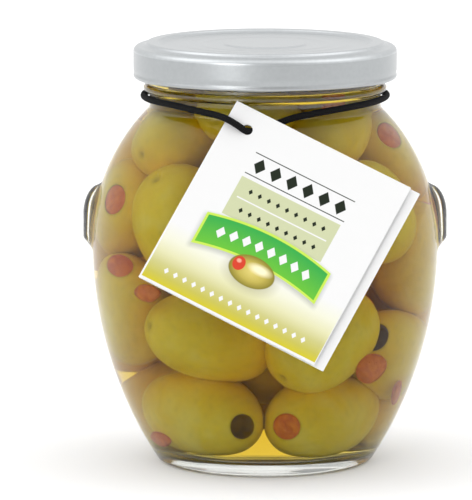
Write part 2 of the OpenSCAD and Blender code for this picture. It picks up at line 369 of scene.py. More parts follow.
class Finish(Nodes):
    """A material, with short calls for what it is made of."""

    def __init__(self, name):
        self.material = bpy.data.materials.new(name)
        self.material.use_nodes = True
        super().__init__(self.material.node_tree)
        self.shader = self.tree.nodes["Principled BSDF"]

    def set(self, **values):
        """Sets the shader's own sockets, with _ for a space."""
        for key, value in values.items():
            self.put(self.shader.inputs[key.replace("_", " ")], value)

    def place(self):
        """The object's own coordinates in millimetres."""
        made = self.node("ShaderNodeVectorMath", operation="SCALE")
        self.put(made.inputs[0], self.node("ShaderNodeTexCoord").outputs["Object"])
        made.inputs["Scale"].default_value = 1 / MM
        return made.outputs[0]

    def noise(self, where, scale, detail=2.0, roughness=0.5):
        made = self.node("ShaderNodeTexNoise")
        self.put(made.inputs["Vector"], where)
        made.inputs["Scale"].default_value = scale
        made.inputs["Detail"].default_value = detail
        made.inputs["Roughness"].default_value = roughness
        return made.outputs["Fac"]

    def ramp(self, factor, stops):
        """A colour that follows factor through (position, colour) stops."""
        made = self.node("ShaderNodeValToRGB")
        self.put(made.inputs["Fac"], factor)
        scale = made.color_ramp
        scale.elements[0].position, scale.elements[0].color = stops[0][0], (*stops[0][1], 1)
        scale.elements[1].position, scale.elements[1].color = stops[-1][0], (*stops[-1][1], 1)
        for position, colour in stops[1:-1]:
            scale.elements.new(position).color = (*colour, 1)
        return made.outputs["Color"]

    def mix(self, factor, a, b):
        made = self.node("ShaderNodeMix", data_type="RGBA")
        self.put(made.inputs["Factor"], factor)
        for socket, value in ((made.inputs["A"], a), (made.inputs["B"], b)):
            self.put(socket, value if isinstance(value, bpy.types.NodeSocket) else (*value, 1))
        return made.outputs["Result"]

    def relief(self, height, distance):
        """Bump of a height, with its depth in millimetres."""
        made = self.node("ShaderNodeBump")
        made.inputs["Distance"].default_value = distance * MM
        self.put(made.inputs["Height"], height)
        self.put(self.shader.inputs["Normal"], made.outputs["Normal"])

    def band(self, value, low, high, soft):
        """1 between low and high and 0 outside, with soft edges."""
        middle = (low + high) / 2
        off = self.math("ABSOLUTE", self.math("SUBTRACT", value, middle))
        inside = self.math("SUBTRACT", (high - low) / 2, off)
        return self.math("MULTIPLY_ADD", inside, 1 / soft, 0.5, clamp=True)

    def both(self, a, b):
        return self.math("MULTIPLY", a, b)

    def either(self, a, b):
        return self.math("MAXIMUM", a, b)


def glass_finish(name, gloss):
    """Clear glass, slightly green. gloss scales what it mirrors: little where brine wets it."""
    look = Finish(name)
    look.set(Base_Color=(0.953, 0.975, 0.950, 1), Roughness=0.0, IOR=1.5)
    look.set(Transmission_Weight=1.0, Specular_Tint=(gloss, gloss, gloss, 1))
    where = look.place()
    look.relief(look.noise(where, 0.05, 1.0), 0.12)
    return look.material


def brine_finish(name, gloss):
    """Clear yellow brine. It mirrors only at its open surface, as it meets glass elsewhere."""
    look = Finish(name)
    look.set(Base_Color=(1, 1, 1, 1), Roughness=0.0, IOR=1.34, Transmission_Weight=1.0)
    look.set(Specular_Tint=(gloss, gloss, gloss, 1))
    absorb = look.node("ShaderNodeVolumeAbsorption")
    absorb.inputs["Color"].default_value = (0.952, 0.813, 0.02, 1)
    absorb.inputs["Density"].default_value = 46.0
    look.tree.links.new(absorb.outputs[0], look.tree.nodes["Material Output"].inputs["Volume"])
    return look.material


def metal_finish(name, shade):
    """Satin tinplate of a lighter or darker shade. The darker copy, on the lid's skirt, is painted
    shade.
    """
    look = Finish(name)
    where = look.place()
    grain = look.noise(where, 0.8, 3.0)
    tints = ((0.94, 0.98, 1.0), (1.0, 1.04, 1.06))
    dark, light = [tuple(shade * part for part in tint) for tint in tints]
    look.set(Metallic=1.0, Base_Color=look.ramp(grain, [(0.3, dark), (0.7, light)]))
    look.set(Roughness=look.math("MULTIPLY_ADD", grain, 0.06, 0.27))
    look.relief(look.noise(where, 0.15, 1.0), 0.01)
    return look.material


def olive_finish():
    """Mottled skin, with painted shade inside the pit hole and round its edge, and browner at the stem.
    """
    look = Finish("green_olive")
    where = look.place()
    broad = look.noise(where, 0.07, 2.0)
    fine = look.noise(where, 0.6, 3.0)
    skin = look.ramp(broad, [(0.3, (0.92, 0.67, 0.03)), (0.5, (0.95, 0.73, 0.05)),
                             (0.7, (0.96, 0.79, 0.13))])
    mottle = look.math("MULTIPLY", look.math("SUBTRACT", fine, 0.5), 0.6, clamp=True)
    skin = look.mix(mottle, skin, (0.33, 0.28, 0.04))
    # Painted shade darkens the pit hole and its edge; the stem gets a browner mark.
    rim = look.node("ShaderNodeAttribute", attribute_name="rim").outputs["Fac"]
    skin = look.mix(rim, skin, (0.26, 0.15, 0.008))
    look.set(Base_Color=skin, Roughness=look.math("MULTIPLY_ADD", fine, 0.15, 0.28))
    look.set(Specular_IOR_Level=0.03)
    look.relief(fine, 0.12)
    return look.material


def pepper_finish():
    """Orange-red paste with a lumpy surface."""
    look = Finish("pepper_paste")
    where = look.place()
    lumps = look.noise(where, 0.5, 3.0)
    look.set(Base_Color=look.ramp(lumps, [(0.3, (0.72, 0.13, 0.004)), (0.7, (0.90, 0.26, 0.010))]))
    look.set(Roughness=look.math("MULTIPLY_ADD", lumps, 0.2, 0.35))
    look.relief(lumps, 0.5)
    return look.material


def elastic_finish():
    """Black braid of crossing strands, with painted shade in the grooves between them."""
    look = Finish("black_elastic")
    braid = look.node("ShaderNodeAttribute", attribute_name="braid").outputs["Vector"]
    parts = look.node("ShaderNodeSeparateXYZ")
    look.put(parts.inputs[0], braid)
    turn = look.math("ARCTAN2", parts.outputs[2], parts.outputs[1])
    strands = 6.0
    pitch = 5.0
    along = look.math("MULTIPLY", parts.outputs[0], pitch)
    around = look.math("MULTIPLY", turn, strands)
    one = look.math("SINE", look.math("ADD", along, around))
    two = look.math("SINE", look.math("SUBTRACT", along, around))
    weave = look.math("MULTIPLY", one, two)
    # The low parts of the weave are coloured darker: painted shade in the grooves.
    look.set(Base_Color=look.ramp(look.math("MULTIPLY_ADD", weave, 0.5, 0.5),
                                  [(0.2, (0.002, 0.002, 0.002)), (0.8, (0.008, 0.008, 0.009))]))
    look.set(Roughness=0.8, Specular_IOR_Level=0.15)
    look.relief(weave, 0.15)
    return look.material


def plain_card_finish():
    """White card with a faint grain."""
    look = Finish("white_card")
    where = look.place()
    fibre = look.noise(where, 3.0, 4.0, 0.7)
    look.set(Base_Color=look.ramp(fibre, [(0.3, (0.71, 0.71, 0.71)), (0.7, (0.74, 0.74, 0.74))]))
    look.set(Roughness=0.55)
    look.relief(fibre, 0.02)
    return look.material


WHITE = (0.70, 0.70, 0.70)


def printed_card_finish():
    """The front of the tag: fields of colour, a banner, a drawn olive and rows of small lozenges."""
    look = Finish("printed_card")
    at = look.node("ShaderNodeSeparateXYZ")
    look.put(at.inputs[0], look.node("ShaderNodeAttribute", attribute_name="print").outputs["Vector"])
    u, v = at.outputs[0], at.outputs[1]

    # White paper that turns yellow towards the foot
    down = look.math("MULTIPLY_ADD", v, -1 / 18.5, -11.0 / 18.5, clamp=True)
    field = look.ramp(down, [(0.0, WHITE), (0.27, (0.70, 0.70, 0.57)), (0.5, (0.63, 0.62, 0.38)),
                             (0.7, (0.50, 0.48, 0.19)), (0.88, (0.47, 0.43, 0.075)),
                             (1.0, (0.53, 0.46, 0.02))])
    border = look.both(look.band(u, -TAG_W / 2 + 0.6, TAG_W / 2 - 0.2, 0.1),
                       look.band(v, -TAG_H / 2 + 0.8, TAG_H / 2 + 5, 0.1))
    paper = look.mix(border, WHITE, field)

    # Beige panel with a thin white line across it
    panel = look.both(look.band(u, -16.6, 16.0, 0.1), look.band(v, -2.0, 10.8, 0.1))
    paper = look.mix(panel, paper, (0.50, 0.53, 0.33))
    line = look.both(look.band(u, -15.0, 14.5, 0.1), look.band(v, 4.3, 4.7, 0.1))
    paper = look.mix(line, paper, WHITE)

    # Arched green banner with a light border and a soft shadow
    arch = look.math("MULTIPLY_ADD", look.math("MULTIPLY", u, u), 0.0068, v)

    def banner(grow, soft, drop):
        """The banner's own shape, grown on all sides, softened, and dropped for a shadow."""
        low, high = -10.6 - grow - drop, -1.6 + grow - drop
        wide = look.band(u, -19.6 - grow, 19.6 + grow, soft)
        return look.both(wide, look.band(arch, low, high, soft))

    paper = look.mix(look.math("MULTIPLY", banner(1.3, 1.6, 0.6), 0.45), paper, (0.20, 0.22, 0.18))
    paper = look.mix(banner(0.75, 0.12, 0), paper, (0.48, 0.66, 0.08))
    down = look.math("MULTIPLY_ADD", arch, -1 / 9.0, -1.6 / 9.0, clamp=True)
    green = look.ramp(down, [(0.0, (0.03, 0.33, 0.06)), (1.0, (0.12, 0.44, 0.035))])
    paper = look.mix(banner(0, 0.12, 0), paper, green)

    def lozenges(height, middle, first, last, step, size):
        """A row of upright lozenges."""
        along = look.math("FLOORED_MODULO", look.math("SUBTRACT", u, first), step)
        along = look.math("SUBTRACT", along, step / 2)
        across = look.math("SUBTRACT", height, middle)
        near = look.math("ADD", look.math("MULTIPLY", look.math("ABSOLUTE", along), 1.35),
                         look.math("ABSOLUTE", across))
        mark = look.math("MULTIPLY_ADD", look.math("SUBTRACT", size, near), 8.0, 0.5, clamp=True)
        return look.both(mark, look.band(u, first, last, 0.1))

    paper = look.mix(lozenges(arch, -6.1, -16.0, 16.0, 4.0, 1.9), paper, WHITE)
    dark = (0.010, 0.016, 0.008)
    paper = look.mix(lozenges(v, 15.6, -16.0, 16.0, 5.333, 2.5), paper, dark)
    rules = look.either(look.band(v, 18.9, 19.2, 0.1), look.band(v, 12.0, 12.3, 0.1))
    paper = look.mix(look.both(rules, look.band(u, -16.4, 16.4, 0.1)), paper, dark)
    paper = look.mix(lozenges(v, 7.5, -13.5, 13.5, 3.0, 0.9), paper, dark)
    paper = look.mix(lozenges(v, 1.2, -13.5, 13.5, 3.0, 0.9), paper, dark)
    paper = look.mix(lozenges(v, -25.2, -24.0, 24.0, 3.0, 1.0), paper, WHITE)

    # A drawn olive with its red stuffing
    def oval(x, z, half_w, half_h, soft):
        """A filled oval, and how far each place is from its middle."""
        wide = look.math("DIVIDE", look.math("SUBTRACT", u, x), half_w)
        tall = look.math("DIVIDE", look.math("SUBTRACT", v, z), half_h)
        squares = look.math("ADD", look.math("MULTIPLY", wide, wide), look.math("MULTIPLY", tall, tall))
        off = look.math("SQRT", squares)
        inside = look.math("SUBTRACT", 1.0, off)
        return look.math("MULTIPLY_ADD", inside, half_h / soft, 0.5, clamp=True), off

    shade, _ = oval(-0.2, -15.2, 7.6, 4.6, 3.0)
    paper = look.mix(look.math("MULTIPLY", shade, 0.5), paper, (0.25, 0.23, 0.10))
    body, off = oval(-0.4, -13.9, 7.2, 4.7, 0.2)
    olive = look.ramp(off, [(0.0, (0.62, 0.52, 0.15)), (0.6, (0.44, 0.36, 0.07)),
                            (1.0, (0.20, 0.17, 0.02))])
    paper = look.mix(body, paper, olive)
    shine, _ = oval(1.6, -12.4, 3.0, 1.3, 1.2)
    paper = look.mix(look.math("MULTIPLY", shine, 0.8), paper, (0.88, 0.84, 0.60))
    stuffing, _ = oval(-4.9, -13.2, 1.9, 2.2, 0.2)
    paper = look.mix(stuffing, paper, (0.55, 0.045, 0.02))
    gleam, _ = oval(-5.2, -12.5, 0.7, 0.6, 0.4)
    paper = look.mix(look.math("MULTIPLY", gleam, 0.6), paper, (0.9, 0.55, 0.4))

    fibre = look.noise(look.place(), 3.0, 4.0, 0.7)
    look.set(Base_Color=paper, Roughness=0.5, Specular_IOR_Level=0.15)
    look.relief(fibre, 0.015)
    return look.material


def give(piece, material):
    """Finishes a piece: its material, and the one body that it rides on."""
    piece.data.materials.append(material)
    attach(piece, "root")
    return piece


# ---------------------------------------------------------------- camera, tag and cord first

def make_camera():
    """A long lens a little above the jar, as in a product picture."""
    data = bpy.data.cameras.new("camera")
    data.lens = CAMERA_LENS
    data.sensor_width = SENSOR_W
    camera = bpy.data.objects.new("camera", data)
    bpy.context.scene.collection.objects.link(camera)
    camera.location = Vector(CAMERA_AT) * MM
    target = Vector(CAMERA_AIM) * MM
    camera.rotation_euler = (target - camera.location).to_track_quat("-Z", "Y").to_euler()
    bpy.context.scene.camera = camera


def knot_line():
    """A little over two turns of cord, wound into a short barrel."""
    middle = (knot_low + knot_high) / 2
    wind_r = (knot_high[2] - knot_low[2]) / 2 - KNOT_CORD_R
    half = (knot_high[0] - knot_low[0]) / 2 - 0.9
    turns = 2 * math.pi * np.linspace(0, 2.4, 50)
    along = np.linspace(-half, half, len(turns))
    return middle + np.stack([along, wind_r * np.sin(turns), wind_r * np.cos(turns)], axis=1)


def make_tag():
    """A folded card with its hole. The bow and the print's faces come in place_tag."""
    left, right = -TAG_W / 2, TAG_W / 2
    thick = 2 * CARD + LEAF_GAP
    middle = thick / 2
    steps = 40
    fold = arc(left + middle, middle, middle - CARD / 2, 90, 270, 8)
    front = [(x, thick - CARD / 2) for x in np.linspace(right, left + middle + 0.5, steps)]
    back = [(x, CARD / 2) for x in np.linspace(left + middle + 0.5, right + TAG_LIP, steps)]
    line = front + fold + back
    rows = np.linspace(-TAG_H / 2, TAG_H / 2, steps)
    points = [(x, y, w) for y in rows for x, w in line]
    count = len(line)
    faces = [(r * count + i, r * count + i + 1, (r + 1) * count + i + 1, (r + 1) * count + i)
             for r in range(steps - 1) for i in range(count - 1)]
    piece = mesh_piece("tag_card", points, faces, smooth=False)

    bpy.ops.object.select_all(action="DESELECT")
    bpy.context.view_layer.objects.active = piece
    thicken = piece.modifiers.new("thicken", "SOLIDIFY")
    thicken.thickness = CARD * MM
    thicken.offset = 0
    thicken.use_even_offset = True
    bpy.ops.mesh.primitive_cylinder_add(vertices=40, radius=HOLE_R * MM, depth=10 * MM,
                                        location=(HOLE_AT[0] * MM, HOLE_AT[1] * MM, 0))
    punch = bpy.context.active_object
    bpy.context.view_layer.objects.active = piece
    cut = piece.modifiers.new("cut", "BOOLEAN")
    cut.object = punch
    cut.solver = "EXACT"
    bpy.ops.object.modifier_apply(modifier=thicken.name)
    bpy.ops.object.modifier_apply(modifier=cut.name)
    bpy.data.objects.remove(punch)
    return piece


def place_tag(piece):
    """Stores the print's coordinates, bows the leaves, and hangs the card on the belly."""
    mesh = piece.data
    thick = 2 * CARD + LEAF_GAP
    flat = np.array([v.co for v in mesh.vertices]) / MM
    store = mesh.attributes.new("print", "FLOAT_VECTOR", "POINT")
    store.data.foreach_set("vector", flat.astype(np.float32).ravel())
    for face in mesh.polygons:
        at = face.center / MM
        front = face.normal.z > 0.5 and at.z > thick - 0.1 and at.x < TAG_W / 2
        face.material_index = 1 if front else 0
    reach = np.clip((flat[:, 0] + TAG_W / 2) / TAG_W, 0, 1.1)
    front = flat[:, 2] > thick / 2
    flat[:, 2] += np.where(front, FRONT_BOW, BACK_BOW) * reach ** 2
    touch_z = BELLY_Z + high_r * math.sin(TAG_LEAN)
    touch_r = high_x + high_r * math.cos(TAG_LEAN)
    away = touch_r + TAG_GAP / math.cos(TAG_LEAN) + (touch_z - TAG_MIDDLE[1]) * math.tan(TAG_LEAN)
    across = flat[:, 0] * math.cos(TAG_TURN) + flat[:, 1] * math.sin(TAG_TURN)
    up = flat[:, 1] * math.cos(TAG_TURN) - flat[:, 0] * math.sin(TAG_TURN)
    out = flat[:, 2]
    placed = np.stack([
        TAG_MIDDLE[0] + across,
        -away + up * math.sin(TAG_LEAN) - out * math.cos(TAG_LEAN),
        TAG_MIDDLE[1] + up * math.cos(TAG_LEAN) + out * math.sin(TAG_LEAN),
    ], axis=1)
    mesh.vertices.foreach_set("co", (placed * MM).astype(np.float32).ravel())
    mesh.update()


make_camera()
tag = make_tag()
tag.data.materials.append(plain_card_finish())
give(tag, printed_card_finish())
place_tag(tag)
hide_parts("tag")

elastic = elastic_finish()
cord_line = smooth_route(CORD_ROUTE, 6)
cord = give(tube("cord_loop", cord_line, CORD_R, 14), elastic)
knot = give(tube("cord_knot", knot_line(), KNOT_CORD_R, 12), elastic)
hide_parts("cord")
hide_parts("knot")


# ---------------------------------------------------------------- glass

def ear_radius(z):
    """Radius of the ear's face in the middle of its width, at a height."""
    low, high = EAR_Z - EAR_H / 2, EAR_Z + EAR_H / 2
    if z > high - EAR_CROWN:
        fall = 1 - (z - (high - EAR_CROWN)) / EAR_CROWN
        rise = math.sqrt(max(0, 1 - (1 - fall) ** 2))
        return belly_at(high) + (EAR_R - belly_at(high)) * rise
    if z < low + EAR_CUT:
        share = (z - low) / EAR_CUT
        return belly_at(low) + EAR_LIP + (EAR_R - belly_at(low) - EAR_LIP) * share
    return EAR_R


def ear_half_width(z):
    """Half the ear's width at a height: a round top and smaller round corners below."""
    low, high = EAR_Z - EAR_H / 2, EAR_Z + EAR_H / 2
    top = z - (high - EAR_HALF_W)
    if top > 0:
        return math.sqrt(max(EAR_HALF_W ** 2 - top ** 2, 0.01))
    corner = EAR_HALF_W / 2
    below = (low + corner) - z
    if below > 0:
        return EAR_HALF_W - corner + math.sqrt(max(corner ** 2 - below ** 2, 0.01))
    return EAR_HALF_W


def ear_rise(turn, z):
    """How far an ear stands out of the belly at an angle and a height."""
    low, high = EAR_Z - EAR_H / 2, EAR_Z + EAR_H / 2
    if not low < z < high:
        return 0.0
    spread = EAR_SPREAD[0] + (EAR_SPREAD[1] - EAR_SPREAD[0]) * (z - low) / EAR_H
    share = abs(math.remainder(turn, math.pi)) * EAR_R / (spread * ear_half_width(z))
    if share >= 1:
        return 0.0
    return max(ear_radius(z) - belly_at(z), 0) * math.cos(math.pi / 2 * share) ** 2


def hollow_radius(i, turn, r, z):
    """The inside of the wall follows the ears, as in blown glass."""
    return r + EAR_HOLLOW * ear_rise(turn, z)


def glass_radius(outer_count):
    """The shape that adds ears and thread lugs to the outer face, and hollows to the inner one."""

    def radius(i, turn, r, z):
        if i >= outer_count:
            return hollow_radius(i, turn, r, z)
        if z < BEAD_Z:
            return r + ear_rise(turn, z)
        if z > BEAD_Z + BEAD_H / 2:
            for k in range(LUG_COUNT):
                off = math.remainder(turn - math.radians(LUG_FIRST + k * 360 / LUG_COUNT), 2 * math.pi)
                rise = z - (LUG_Z + FINISH_R * off * LUG_SLOPE)
                share = max(abs(rise) / LUG_HALF_H, (abs(math.degrees(off)) - LUG_HALF_TURN + 3) / 3)
                if share < 1:
                    return r + LUG_OUT * math.sqrt(1 - max(share, 0) ** 2.5)
        return r

    return radius


def jar_turns():
    """Angles round the jar, 1.5 degrees apart, and 0.2 within 15 degrees of an ear's middle."""
    turns = {round(k * 1.5, 3) for k in range(240)}
    for middle in (0, 180):
        for k in range(-75, 76):
            turns.add(round((middle + k * 0.2) % 360, 3))
    return [math.radians(t) for t in sorted(turns)]


outside = outer_outline()
inside = cavity_outline(0, JAR_H - RIM_R)
mouth = arc(MOUTH_R + RIM_R, JAR_H - RIM_R, RIM_R, 90, 170, 4)
jar = revolve("jar_glass", outside + mouth + inside[::-1], jar_turns(), shape=glass_radius(len(outside)))
CLEAR, BRIGHT, WETTED = 0, 1, 2
jar.data.materials.append(glass_finish("clear_glass", 0.3))
jar.data.materials.append(glass_finish("bright_glass", 1.0))
give(jar, glass_finish("wetted_glass", 0.03))
for face in jar.data.polygons:
    at = face.center / MM
    inward = at.x * face.normal.x + at.y * face.normal.y + (at.z - BELLY_Z) * face.normal.z < 0
    low_enough = FLOOR_T - 0.5 < at.z < FILL_Z
    wetted = inward and low_enough and math.hypot(at.x, at.y) < inner_limit(at.z, -0.5)
    at_ear = abs(at.z - EAR_Z) < EAR_H / 2 and math.hypot(at.x, at.y) > belly_at(at.z) + 0.1
    if at_ear or at.z > BEAD_Z - BEAD_H:
        face.material_index = BRIGHT
    else:
        face.material_index = WETTED if wetted else CLEAR
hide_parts("jar")

brine = revolve("brine_body", cavity_outline(INTO_WALL, FILL_Z), jar_turns(), shape=hollow_radius)
brine.data.materials.append(brine_finish("brine_surface", 1.0))
give(brine, brine_finish("olive_brine", 0.0))
for face in brine.data.polygons:
    face.material_index = 0 if face.center.z / MM > FILL_Z - 0.1 else 1
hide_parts("brine")


# ---------------------------------------------------------------- lid

def lid_outline():
    """Pressed tinplate: button, panel, two faint rings, raised ring, bevel, skirt, rolled edge."""
    bevel_z = JAR_H + 0.05
    ring_in = RING_R - RING_W

    def faint_ring(r):
        return [(r + 0.6 * k, PANEL_Z + 0.12 * (1 - (k / 2) ** 2)) for k in (-2, -1, 0, 1, 2)]

    top = ([(0.01, PANEL_Z + 0.3), (BUTTON_R - 2, PANEL_Z + 0.28)]
           + arc(BUTTON_R - 1.6, PANEL_Z - 0.5, 0.8, 80, 40, 4)
           + [(BUTTON_R + 0.4, PANEL_Z)] + faint_ring(19) + faint_ring(24) + [(ring_in - 0.6, PANEL_Z)]
           + [(ring_in, PANEL_Z + 0.08)]
           + arc(ring_in + 1.6, LID_TOP - 0.6, 0.6, 150, 90, 6)
           + [(r, LID_TOP) for r in np.linspace(ring_in + 2.2, RING_R - 1.7, 3)]
           + arc(RING_R - 1.5, LID_TOP - 0.9, 0.9, 90, 10, 8)
           + [(RING_R, bevel_z + 0.3), (RING_R + 0.4, bevel_z + 0.1)]
           + [(LID_R - SHOULDER_R - 0.4, bevel_z)])
    skirt = (arc(LID_R - SHOULDER_R, bevel_z - SHOULDER_R, SHOULDER_R, 90, 0, 8)
             + [(LID_R, z) for z in np.linspace(bevel_z - SHOULDER_R - 0.5, CURL_Z + 1.6, 6)]
             + [(LID_R - 0.12, CURL_Z + 1.2)]
             + arc(LID_R - CURL_R, CURL_Z, CURL_R, 30, -270, 26))
    under = ([(LID_R - SHEET, CURL_Z + CURL_R * 0.9)]
             + arc(LID_R - SHOULDER_R, bevel_z - SHOULDER_R, SHOULDER_R - SHEET, 0, 90, 5)
             + [(FINISH_R + 0.8, bevel_z - SHEET), (FINISH_R + 0.4, JAR_H), (0.01, JAR_H)])
    return top + skirt + under


lid = revolve("lid_shell", lid_outline(), even_turns(192))
lid.data.materials.append(metal_finish("satin_tinplate", 0.52))
# The skirt gets a darker copy of the same tinplate as the top: painted shade.
give(lid, metal_finish("satin_tinplate_skirt_painted_shade", 0.41))
for face in lid.data.polygons:
    at = face.center / MM
    on_skirt = at.z < JAR_H - SHOULDER_R and math.hypot(at.x, at.y) > LID_R - 2 * SHOULDER_R
    face.material_index = 1 if on_skirt else 0
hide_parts("lid")


# ---------------------------------------------------------------- olives

# Olives that show at the front and sides: middle, direction of the stuffed end, length, width, filled
SHOWN_OLIVES = [
    ((-22.7, -14.5, 97.6), (0.8, 0.5, 0.3), 30, 24, True),
    ((-34.2, -4.6, 79.5), (-0.50, -0.78, 0.36), 30, 24, True),
    ((-23.0, -26.5, 80.5), (0.5, 0.3, -0.8), 35, 28, True),
    ((-34.2, -3.2, 48.5), (-0.25, -0.55, 0.8), 34, 25, True),
    ((-14.6, -30.1, 43.6), (0.9, 0.3, -0.2), 37, 25, True),
    ((19.5, -28.5, 44.5), (0.6, 0.5, 0.6), 34, 27, True),
    ((-19.3, -22.5, 21), (0.52, -0.85, -0.10), 39, 26, False),
    ((19, -21, 19.5), (-0.42, -0.9, -0.14), 37, 26, True),
    ((35.9, -2, 61.3), (0.1, 0.3, 0.9), 30, 24, True),
    ((32.7, -6, 45.5), (-0.05, -0.98, 0.34), 33, 25, False),
    ((20.6, -14.2, 100.4), (0.2, 0.6, 0.7), 30, 24, True),
    ((34, 4.3, 80.8), (0.3, -0.7, 0.6), 31, 25, True),
]

# The others stand in layers of a ring and a middle one, where nothing is nearer than a share
# of their width. None stands at the front left, which the shown ones fill, or in a channel
# that runs from front to back at the bottom, as the photo shows light there
OLIVE_LENGTH = 32.0
OLIVE_WIDTH = 25.0
LAYERS = (20, 42, 64, 84, 102)
RING_SPACING = 0.9
MIDDLE_UP = 8
NEAREST_SHARE = 0.72
FRONT_LEFT_Y = -12
CHANNEL_W = 16.0
CHANNEL_Z = 30
FILLED_SHARE = 0.8

# How they settle: the steps, the share of each overlap that one step takes away, how freely
# the shown ones move, how far the others sink in a step, and the gaps that are kept
RELAX_STEPS = 400
PAIR_PUSH = 0.2
WALL_PUSH = 0.4
CHANNEL_PUSH = 0.3
SHOWN_FREE = 0.03
SINK = 0.05
WALL_STEPS = 20
WALL_STEP_PUSH = 0.5
WALL_GAP = 1.3
LUMP_GAP = 0.8
TOP_GAP = 2

# How fine their skins are
SKIN_RINGS = 30
SKIN_SIDES = 52
PASTE_SIDES = 28

# Loose paste that shows between the olives: middle at the wall, and size
LOOSE_PASTE = [
    ((31.5, -29.7, 33.4), (5.2, 3.0, 4.6)),
    ((38.0, -13.1, 24.0), (2.6, 2.0, 4.0)),
    ((-30.7, -14.2, 10.3), (4.6, 2.0, 2.6)),
    ((-33.0, -31.0, 56.0), (4.5, 2.0, 2.6)),
    ((19.8, -23.6, 110.9), (3.6, 2.0, 2.2)),
]


def fill_up(random):
    """The shown olives, and others packed round the back and the middle."""
    olives = []
    for middle, ahead, *rest in SHOWN_OLIVES:
        olives.append((np.array(middle, float), np.array(ahead, float) / np.linalg.norm(ahead), *rest))
    for layer, z in enumerate(LAYERS):
        ring_r = inner_limit(z, OLIVE_WIDTH / 2)
        count = max(int(2 * math.pi * ring_r / (OLIVE_LENGTH * RING_SPACING)), 3)
        turns = [2 * math.pi * (k + 0.5 * (layer % 2)) / count for k in range(count)]
        places = [(ring_r * math.cos(t), ring_r * math.sin(t), z) for t in turns]
        places.append((0.5, 1, z + MIDDLE_UP))
        for place in places:
            place = np.array(place, float)
            in_channel = layer == 0 and abs(place[0]) < CHANNEL_W
            front_left = place[0] < 0 and place[1] < FRONT_LEFT_Y
            near = min(np.linalg.norm(place - o[0]) for o in olives) < OLIVE_WIDTH * NEAREST_SHARE
            if in_channel or front_left or near:
                continue
            ahead = random.normal(size=3)
            ahead /= np.linalg.norm(ahead)
            length = OLIVE_LENGTH + random.uniform(-2, 3)
            width = OLIVE_WIDTH + random.uniform(-1, 1)
            olives.append((place, ahead, length, width, random.random() < FILLED_SHARE))
    return olives


def settle(olives):
    """Pushes overlapping olives apart and into the cavity, and then all of them off its wall.

    Each olive counts as three balls in a row. The shown ones hardly move before the last part."""
    centre = np.array([o[0] for o in olives])
    ahead = np.array([o[1] for o in olives])
    half = np.array([o[2] / 2 for o in olives])
    thick = np.array([o[3] / 2 for o in olives])
    end_r = thick ** 2 / half * 1.2
    offset = np.stack([-(half - end_r), 0 * half, half - end_r], axis=1)
    size = np.stack([end_r, thick, end_r], axis=1)
    free = np.where(np.arange(len(olives)) < len(SHOWN_OLIVES), SHOWN_FREE, 1.0)[:, None]
    for _ in range(RELAX_STEPS):
        balls = centre[:, None] + ahead[:, None] * offset[:, :, None]
        apart = balls[:, None, :, None] - balls[None, :, None, :]
        distance = np.linalg.norm(apart, axis=-1) + 1e-6
        deep = size[:, None, :, None] + size[None, :, None, :] - distance
        deep[np.arange(len(olives)), np.arange(len(olives))] = 0
        shift = np.maximum(deep, 0)[..., None] * apart / distance[..., None]
        push = shift.sum(axis=(1, 2, 3)) * PAIR_PUSH
        for i in range(len(olives)):
            for j in range(3):
                x, y, z = balls[i, j]
                r = math.hypot(x, y)
                over = r - inner_limit(z, size[i, j] + WALL_GAP)
                if over > 0:
                    push[i] -= np.array((x, y, 0)) / r * over * WALL_PUSH
                push[i, 2] += max(FLOOR_T + PUNT_H + size[i, j] - z, 0) * WALL_PUSH
                push[i, 2] -= max(z + size[i, j] - (FILL_Z - TOP_GAP), 0) * WALL_PUSH
            x, y, z = centre[i]
            if z < CHANNEL_Z:
                push[i, 0] += math.copysign(max(CHANNEL_W - abs(x), 0), x) * CHANNEL_PUSH
        centre += push * free
        centre[len(SHOWN_OLIVES):, 2] -= SINK
    for _ in range(WALL_STEPS):
        balls = centre[:, None] + ahead[:, None] * offset[:, :, None]
        for i in range(len(olives)):
            for j in range(3):
                x, y, z = balls[i, j]
                r = math.hypot(x, y)
                over = max(r - inner_limit(z, size[i, j] + WALL_GAP), 0)
                centre[i] -= np.array((x, y, 0)) / r * over * WALL_STEP_PUSH
    return [(c, *o[1:]) for c, o in zip(centre, olives)]


